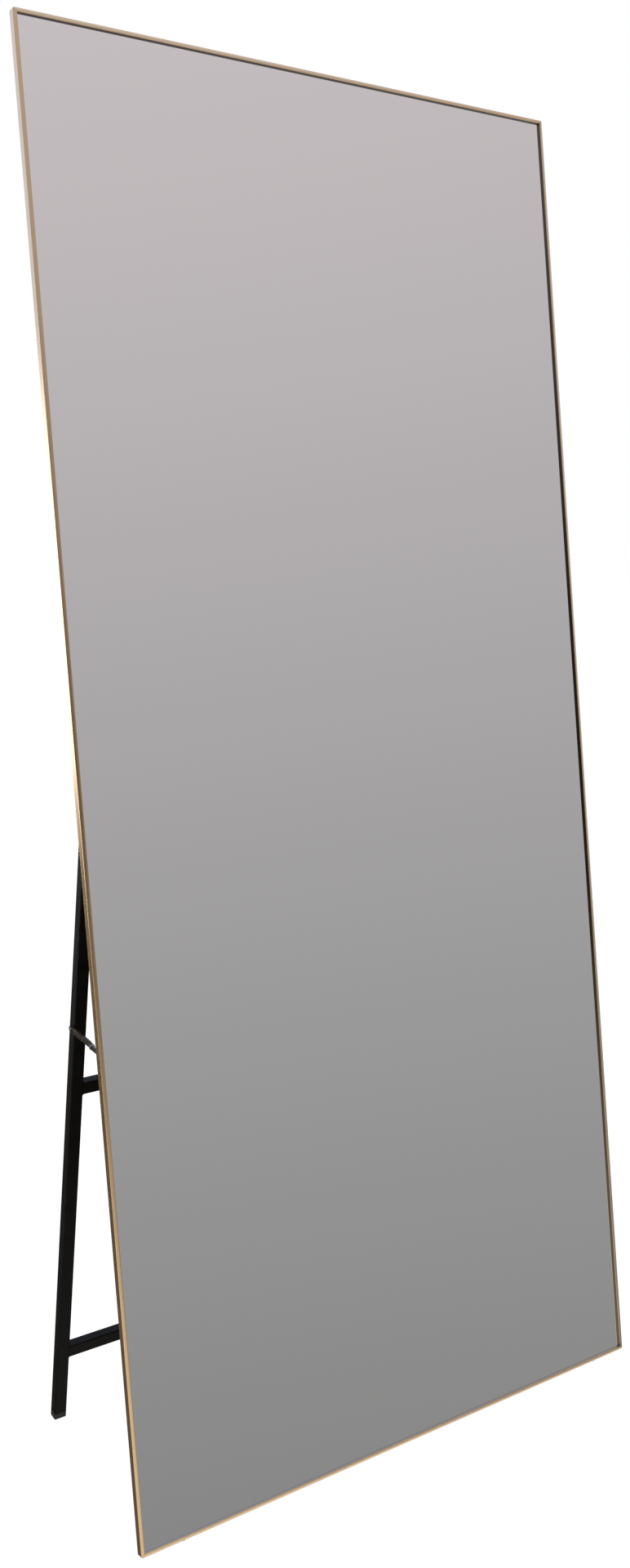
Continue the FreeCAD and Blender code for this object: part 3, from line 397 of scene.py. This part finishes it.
def addScrews(name, node, body, tip, seat, shank, head, high, dome, spots):
    # each screw is turned from a profile: shank, underside, rounded rim and dome, with a cross sunk in the dome
    around, sign = 72, 1 if seat > tip else -1
    radius, stem = head / 2, shank / 2
    top = np.concatenate([radius * np.array([1.0, 0.985, 0.95]), np.linspace(0.9, 0.02, 20) * radius])
    rise = high * (1 - dome * (top / radius) ** 2)
    rise[:3] -= high * np.array([0.16, 0.06, 0.015])
    across = np.concatenate([[stem * 0.6, stem, stem, radius * 0.95, radius], top])
    reach = abs(seat - tip)
    along = np.concatenate([[0, 0.4, reach, reach, reach + 0.12], reach + rise])
    count = len(spots) * 2
    twist = np.random.default_rng(7).uniform(0, math.pi / 2, count)
    angle = np.linspace(0, 2 * math.pi, around, endpoint=False)
    u, v = across[:, None] * np.cos(angle), across[:, None] * np.sin(angle)
    # how far inside the nearer arm, then how deep, less and less towards the arm's end
    inside = np.clip((recess["arm"] - np.minimum(abs(u), abs(v))) / recess["edge"] + 0.5, 0, 1)
    share = np.sqrt(np.clip(1 - across / (recess["reach"] * radius), 0, 1))[:, None]
    sunk = inside * share * recess["deep"] * high
    sunk[:5] = 0
    height = along[:, None] - sunk
    spots = np.array([(x * side, up) for x, up in spots for side in (-1, 1)])
    cos, sin = np.cos(twist)[:, None, None], np.sin(twist)[:, None, None]
    # looking at the head from outside, the points run anticlockwise
    x = spots[:, 0, None, None] + (u * cos - v * sin) * sign * -1
    z = spots[:, 1, None, None] + u * sin + v * cos
    deep = np.broadcast_to(tip + sign * height, x.shape)
    poles = [np.stack([spots[:, 0], np.full(count, tip + sign * end), spots[:, 1]], -1)[:, None]
             for end in (0, along[-1] - recess["deep"] * high)]
    shell = np.stack([x, deep, z], -1).reshape(count, -1, 3)
    points = np.concatenate([poles[0], shell, poles[1]], 1)
    points = tiltedPoint(*planes[body], points[..., 0], points[..., 1], points[..., 2])
    addPiece(name, points, closedFaces(count, len(across), around), node, body, node)


for name, row in screwRows.items():
    addScrews(name, *row)
print("screws turned")


# the crowned front of the frame, in mm in from the outline: where it starts and ends, how far it is sunk in the
# rail, its slope at the outline, where it is level and the rounding of its inner edge
crown = {"from": 1.5, "to": 4.97, "sink": 0.3, "slopeDeg": 14, "flatAt": 5.0, "round": 0.15}


def addCrown(side):
    # a mitred strip that rises inwards, by tan(slope) * (s - s * s / (2 * flatAt)) at s mm in from the outline
    s = np.linspace(crown["from"], crown["to"] - crown["round"], 9)
    rise = math.tan(math.radians(crown["slopeDeg"])) * (s - s ** 2 / (2 * crown["flatAt"]))
    rise -= rise[0]
    edge = crown["round"]
    inset = np.concatenate([s[:1], s, crown["to"] - edge * np.array([0.3, 0, 0])])
    deep = np.concatenate([[crown["sink"]], -rise, [edge * 0.3 - rise[-1], edge - rise[-1], crown["sink"]]])
    wide, high = panel["wide"] / mm / 2, panel["high"] / mm
    if side in ("left", "right"):
        x = np.stack([(wide - inset) * (-1 if side == "left" else 1)] * 2)
        up = np.stack([inset, high - inset])
    else:
        x = np.stack([inset - wide, wide - inset])
        up = np.stack([inset if side == "bottom" else high - inset] * 2)
    rings = np.stack([x, np.broadcast_to(deep, x.shape), up], -1)
    points = np.concatenate([rings[0].mean(0, keepdims=True), *rings, rings[1].mean(0, keepdims=True)])
    faces = closedFaces(1, 2, len(inset))
    if side in ("right", "bottom"):
        faces = [face[::-1] for face in faces]
    points = tiltedPoint(*planes["mirror"], *points.T)
    addPiece(side + "CrownedFace", points, faces, "frame_rail_" + side, "mirror")


for side in ("left", "right", "top", "bottom"):
    addCrown(side)
print("frame's front crowned")


# the beads: radius, wander, start and end behind the hinge's axis and the legs' inner faces in mm, and shares
weld = {"radius": 1.7, "ripple": 0.09, "ripples": 9, "swell": 0.05, "wander": 0.18, "from": -0.4, "to": 12.9,
        "inner": 350.1}
barEdges = {"stand_bar_top": (-21.0, -4.0), "stand_bar_middle": (-548.63, -531.63),
            "stand_bar_lower": (-949.63, -932.63)}


def addWelds():
    # a rippled bead in each corner between a bar and a leg, above and below the bar
    rings, around = 60, 20
    corners = [(side * weld["inner"], up) for edges in barEdges.values() for up in edges for side in (-1, 1)]
    count = len(corners)
    along = np.linspace(0, 1, rings)[None, :, None]
    angle = np.linspace(0, 2 * math.pi, around, endpoint=False)[None, None, :]
    phase = np.random.default_rng(11).uniform(0, 2 * math.pi, (count, 1, 1))
    # full in the middle and round at its ends, with even ripples and a slow wander along it
    full = np.sqrt(np.clip(1 - np.abs(2 * along - 1) ** 5, 0, 1)) * 0.97 + 0.03
    ripple = 1 + weld["ripple"] * np.abs(np.sin(math.pi * weld["ripples"] * along + phase))
    radius = weld["radius"] * full * ripple * (1 + weld["swell"] * np.sin(2 * math.pi * along + phase))
    at = np.array(corners)
    x = at[:, 0, None, None] + radius * np.cos(angle) + weld["wander"] * np.sin(9 * along + phase)
    z = at[:, 1, None, None] + radius * np.sin(angle) + weld["wander"] * np.cos(7 * along + phase)
    deep = np.broadcast_to(weld["from"] + (weld["to"] - weld["from"]) * along, x.shape)
    tube = np.stack([x, deep, z], -1)
    poles = [tube[:, end].mean(1, keepdims=True) for end in (0, -1)]
    points = np.concatenate([poles[0], tube.reshape(count, -1, 3), poles[1]], 1)
    points = tiltedPoint(*planes["stand"], points[..., 0], points[..., 1], points[..., 2])
    faces = [face[::-1] for face in closedFaces(count, rings, around)]
    addPiece("weldBeads", points, faces, "stand_leg_left", "stand")


addWelds()
print("welds laid")


# ---- camera, light and floor
view = {"place": (-1.1522, -1.5933, 1.1981), "down": 9.065, "turn": 34.972, "lens": 34.14, "shift": -0.0052}


def addCamera():
    # the eye of the photograph, with no roll, left of the mirror and looking slightly down
    camera = bpy.data.objects.new("camera", bpy.data.cameras.new("camera"))
    camera.location = view["place"]
    camera.rotation_euler = [math.radians(a) for a in (90 - view["down"], 0, -view["turn"])]
    camera.data.lens = view["lens"]
    camera.data.sensor_width = 36  # on the longer side of the picture
    camera.data.shift_y = view["shift"]
    camera.data.clip_start = 0.05
    bpy.context.scene.collection.objects.link(camera)
    bpy.context.scene.camera = camera


room = {
    "glow": 0.75,   # light that reaches dull surfaces from all round
    # what shiny surfaces see, by height from -1 straight down to 1 straight up, with the brightness of white
    "right": (2.5, [(-1.0, "BCB8B4"), (-0.55, "B4B0AC"), (-0.41, "5D5C5C"), (0.05, "747172"), (0.53, "8C8587"),
                    (0.64, "989FB0"), (1.0, "AEB4C6")]),
    "farRight": (2.5, [(-1.0, "7E8997"), (-0.2, "7E8997"), (0.1, "A4B2C8"), (0.5, "95A3B9"), (1.0, "A8B0C4")]),
    "left": (2.0, [(-1.0, "A8A6A2"), (-0.3, "C8C5BE"), (-0.16, "9A958C"), (-0.08, "3F3B36"), (0.12, "3C3936"),
                   (0.28, "716F78"), (0.42, "979AA3"), (1.0, "AFAEAE")]),
    "behind": (3.0, [(-1.0, "403D3A"), (-0.3, "3A3632"), (-0.17, "332D27"), (-0.14, "FFFFFF"), (0.05, "FFFFFF"),
                     (0.1, "7C8597"), (0.2, "929CB2"), (1.0, "9CA2B8")]),
    # the sideways part of the direction where one takes over from the next
    "leftEdge": (0.2, 0.36), "farEdge": (0.75, 0.88),
    "backEdge": (-0.3, 0.3),  # how far back, as the sine of the direction, the room's back takes over
}


def addRoom():
    # white for the camera, even light for dull surfaces, and for shiny ones a sweep of tones by height, which
    # changes from side to side and towards the back
    world = bpy.data.worlds.new("room")
    bpy.context.scene.world = world
    world.use_nodes = True
    tree = world.node_tree
    tree.nodes.clear()
    direction = addNode(tree, "ShaderNodeTexCoord").outputs["Generated"]
    part = addNode(tree, "ShaderNodeSeparateXYZ", links={"Vector": direction}).outputs
    half = mathOf(tree, "MULTIPLY_ADD", part["Z"], 0.5, 0.5)
    sweeps = {}
    for side in ("left", "right", "farRight", "behind"):
        gain, stops = room[side]
        colour = rampOf(tree, half, [((z + 1) / 2, tone) for z, tone in stops])
        scaled = addNode(tree, "ShaderNodeVectorMath", {"operation": "SCALE", "Scale": gain}, {0: colour})
        sweeps[side] = scaled.outputs[0]
    before = mixOf(tree, stepOf(tree, part["X"], *room["leftEdge"]), sweeps["left"], sweeps["right"])
    before = mixOf(tree, stepOf(tree, part["X"], *room["farEdge"]), before, sweeps["farRight"])
    sweep = mixOf(tree, stepOf(tree, part["Y"], *room["backEdge"]), before, sweeps["behind"])
    ray = addNode(tree, "ShaderNodeLightPath").outputs
    shiny = mathOf(tree, "MAXIMUM", ray["Is Glossy Ray"], ray["Is Transmission Ray"])
    plain = addNode(tree, "ShaderNodeBackground", {"Color": (1, 1, 1, 1), "Strength": room["glow"]})
    swept = addNode(tree, "ShaderNodeBackground", {"Strength": 1.0}, {"Color": sweep})
    white = addNode(tree, "ShaderNodeBackground", {"Color": (1, 1, 1, 1), "Strength": 1.0})
    inner = addNode(tree, "ShaderNodeMixShader", links={0: shiny, 1: plain.outputs[0], 2: swept.outputs[0]})
    outer = addNode(tree, "ShaderNodeMixShader", links={0: ray["Is Camera Ray"], 1: inner.outputs[0],
                                                         2: white.outputs[0]})
    addNode(tree, "ShaderNodeOutputWorld", links={"Surface": outer.outputs[0]})


lamps = {
    # name: place, point looked at, size across and watts
    "ceiling": ((0.9, -1.9, 4.4), (0, 0, 0.9), 1.4, 60),
    "left": ((-2.4, -1.6, 2.4), (0, 0, 0.8), 1.8, 14),
    "right": ((3.3, -0.9, 1.3), (0, 0, 0.9), 2.0, 15),
    "back": ((-1.2, 2.4, 2.6), (0, 0, 0.8), 1.6, 16),
}


def addLamps():
    # round lamps turned to the points that they look at, and not mirrored in shiny surfaces
    for name, (place, target, size, watts) in lamps.items():
        light = bpy.data.lights.new(name, "AREA")
        light.shape = "DISK"
        light.size = size
        light.energy = watts
        lamp = bpy.data.objects.new(name, light)
        lamp.location = place
        aim = np.subtract(target, place)
        flat = math.hypot(aim[0], aim[1])
        lamp.rotation_euler = (math.atan2(flat, -aim[2]), 0, math.atan2(-aim[0], aim[1]))
        lamp.visible_glossy = False
        bpy.context.scene.collection.objects.link(lamp)


ground = {"tone": "F4F3F1", "glow": 1.15, "share": 0.8, "reach": 30}  # metres from the middle to an edge


def addFloor():
    # a pale floor: dull, with a share of plain white glow where the camera sees it, so only faint shadow shows
    mesh = bpy.data.meshes.new("floor")
    reach = ground["reach"]
    corners = [(x * reach, y * reach, 0) for x, y in ((-1, -1), (1, -1), (1, 1), (-1, 1))]
    mesh.from_pydata(corners, [], [(0, 1, 2, 3)])
    floor = bpy.data.objects.new("floor", mesh)
    bpy.context.scene.collection.objects.link(floor)
    material = bpy.data.materials.new("paleFloor")
    material.use_nodes = True
    tree = material.node_tree
    tree.nodes.clear()
    dull = addNode(tree, "ShaderNodeBsdfDiffuse", {"Color": toLinear(ground["tone"])})
    glow = addNode(tree, "ShaderNodeEmission", {"Color": (1, 1, 1, 1), "Strength": ground["glow"]})
    ray = addNode(tree, "ShaderNodeLightPath").outputs
    share = mathOf(tree, "MULTIPLY", ray["Is Camera Ray"], ground["share"])
    mixed = addNode(tree, "ShaderNodeMixShader", links={0: share, 1: dull.outputs[0], 2: glow.outputs[0]})
    addNode(tree, "ShaderNodeOutputMaterial", links={"Surface": mixed.outputs[0]})
    mesh.materials.append(material)
    floor.visible_glossy = False


addCamera()
addRoom()
addLamps()
addFloor()
bpy.context.scene.view_settings.view_transform = "Standard"
print("camera, light and floor set")
